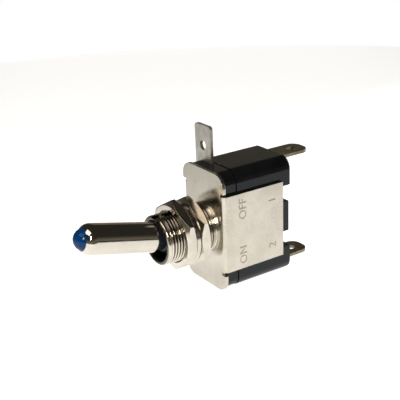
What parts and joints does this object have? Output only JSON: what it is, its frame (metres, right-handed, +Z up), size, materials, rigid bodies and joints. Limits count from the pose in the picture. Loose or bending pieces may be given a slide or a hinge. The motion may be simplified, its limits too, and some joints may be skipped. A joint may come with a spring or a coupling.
{
  "type": "panel toggle switch",
  "caption": "Panel toggle switch with a tilting bright metal lever that carries a blue lamp, a threaded panel bush with nuts, a folded steel frame and blade terminals.",
  "frame": {"origin": "on the bush axis, at the front face of the steel frame's plate", "axes": "-Y along the bush, out of the panel towards the user; +Z up the long side of the body, the way the lever tilts in its ON position; +X to the right as seen from the user's side"},
  "size_m": [0.0166, 0.0638, 0.0383],
  "materials": {
    "bright_nickel": "bright nickel plate on pressed steel",
    "bright_chrome": "bright chrome plate on brass tube",
    "black_phenolic": "glossy black phenolic moulding",
    "black_nylon": "black moulded nylon",
    "blue_epoxy": "blue diffused epoxy",
    "tinned_steel": "tinned lead wire",
    "white_acetal": "moulded acetal",
    "spring_steel": "music wire",
    "phosphor_bronze": "phosphor bronze strip",
    "silver_contact": "silver alloy",
    "tinned_brass": "tin plate on brass, dull",
    "dull_nickel": "dull nickel plate on steel",
    "black_pvc": "black insulation",
    "red_pvc": "red insulation",
    "resistor_lacquer": "tan lacquer"
  },
  "bodies": {
    "root": {"frame": "bright_nickel", "bush": "bright_nickel", "cover": "black_phenolic", "housing": "black_phenolic", "fulcrum": "phosphor_bronze", "supply_terminal": "tinned_brass", "load_terminal": "tinned_brass", "fixed_contact": "silver_contact", "earth_terminal": "dull_nickel", "earth_wire": "black_pvc", "feed_wire": "red_pvc", "resistor": "resistor_lacquer"},
    "lever": {"lever_sleeve": "bright_chrome", "lever_core": "black_nylon", "led_lens": "blue_epoxy", "led_leads": "tinned_steel", "plunger_spring": "spring_steel"},
    "plunger": {"plunger": "white_acetal"},
    "rocker": {"rocker": "phosphor_bronze", "moving_contact": "silver_contact"},
    "front_nut": {"front_nut": "bright_nickel", "lock_washer": "bright_nickel"},
    "rear_nut": {"rear_nut": "bright_nickel"}
  },
  "joints": [
    {"name": "lever_tilt", "type": "hinge", "parent": "root", "child": "lever", "pos_m": [0, -0.0095, 0], "axis": [1, 0, 0], "range_deg": [0, 28]},
    {"name": "plunger_press", "type": "slide", "parent": "lever", "child": "plunger", "axis": [0, -0.9703, 0.2419], "range_m": [0, 0.0008], "stiffness_N_per_m": 400, "springref_m": -0.004, "deforming": ["plunger_spring"]},
    {"name": "rocker_tilt", "type": "hinge", "parent": "root", "child": "rocker", "pos_m": [0, 0.0133, 0], "axis": [1, 0, 0], "range_deg": [-14, 0]},
    {"name": "front_nut_travel", "type": "slide", "parent": "root", "child": "front_nut", "axis": [0, -1, 0], "range_m": [0, 0.0038]},
    {"name": "rear_nut_travel", "type": "slide", "parent": "root", "child": "rear_nut", "axis": [0, 1, 0], "range_m": [0, 0.0018]}
  ],
  "couplings": [
    {"joint": "rocker_tilt", "follows": "lever_tilt", "ratio": -0.5}
  ]
}
